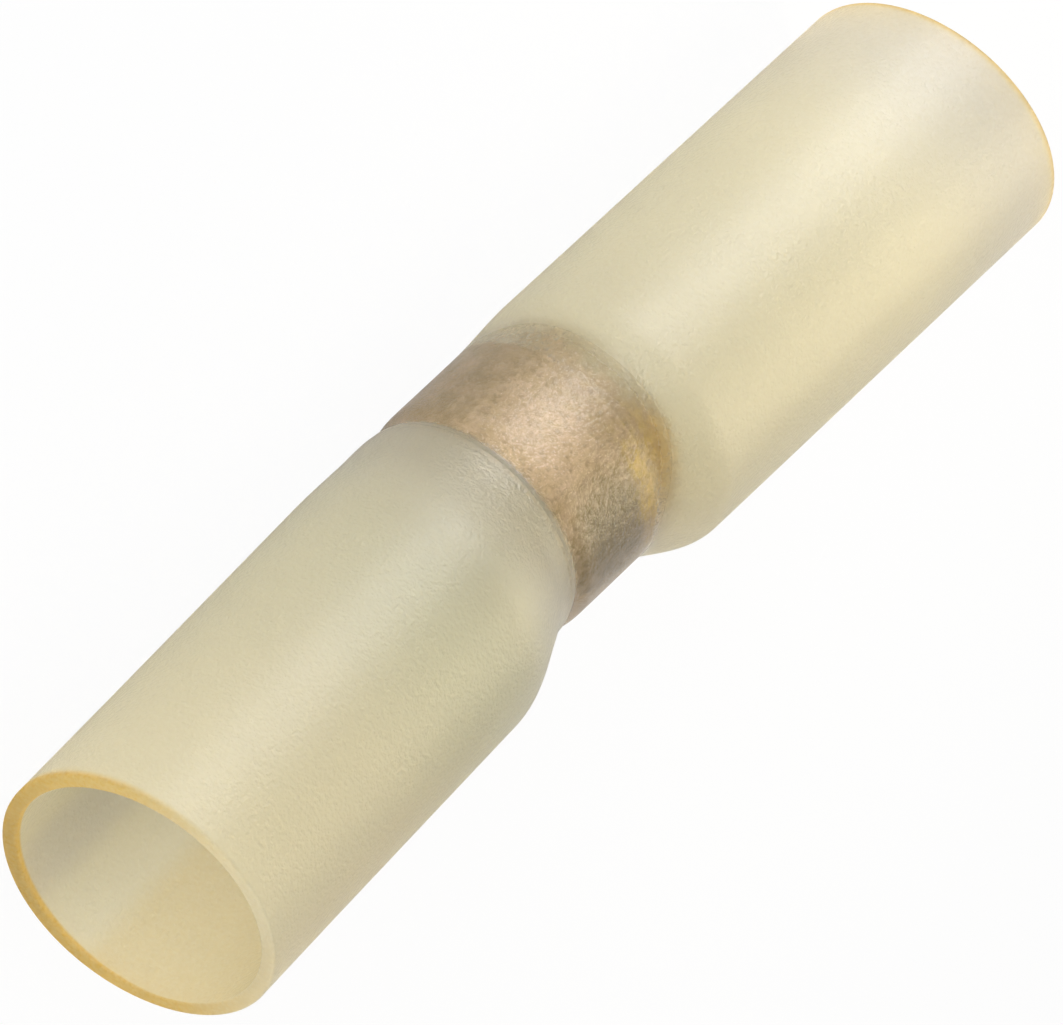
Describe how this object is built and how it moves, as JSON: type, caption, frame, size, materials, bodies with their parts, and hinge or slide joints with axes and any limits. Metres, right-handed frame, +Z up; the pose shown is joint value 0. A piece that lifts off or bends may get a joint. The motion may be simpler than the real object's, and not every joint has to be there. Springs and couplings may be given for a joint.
{
  "type": "solder seal wire connector",
  "caption": "Tubular splice for two wires: a translucent heat-shrink sleeve with a waist that grips a short metal ferrule with solder inside.",
  "frame": {"origin": "middle of the wire bore, which is the bore of the solder ring inside the ferrule", "axes": "+X along the wire bore towards the near mouth, the end that the longer half leads to; +Z up, with the sleeve lying on its flush side"},
  "size_m": [0.0434, 0.0094, 0.0104],
  "materials": {
    "sleeve": "frosted translucent yellow",
    "ferrule": "satin tin plate over copper",
    "solder": "dull cast solder"
  },
  "bodies": {
    "root": {"shrink_sleeve": "sleeve", "splice_ferrule": "ferrule", "solder_ring": "solder"}
  },
  "joints": []
}
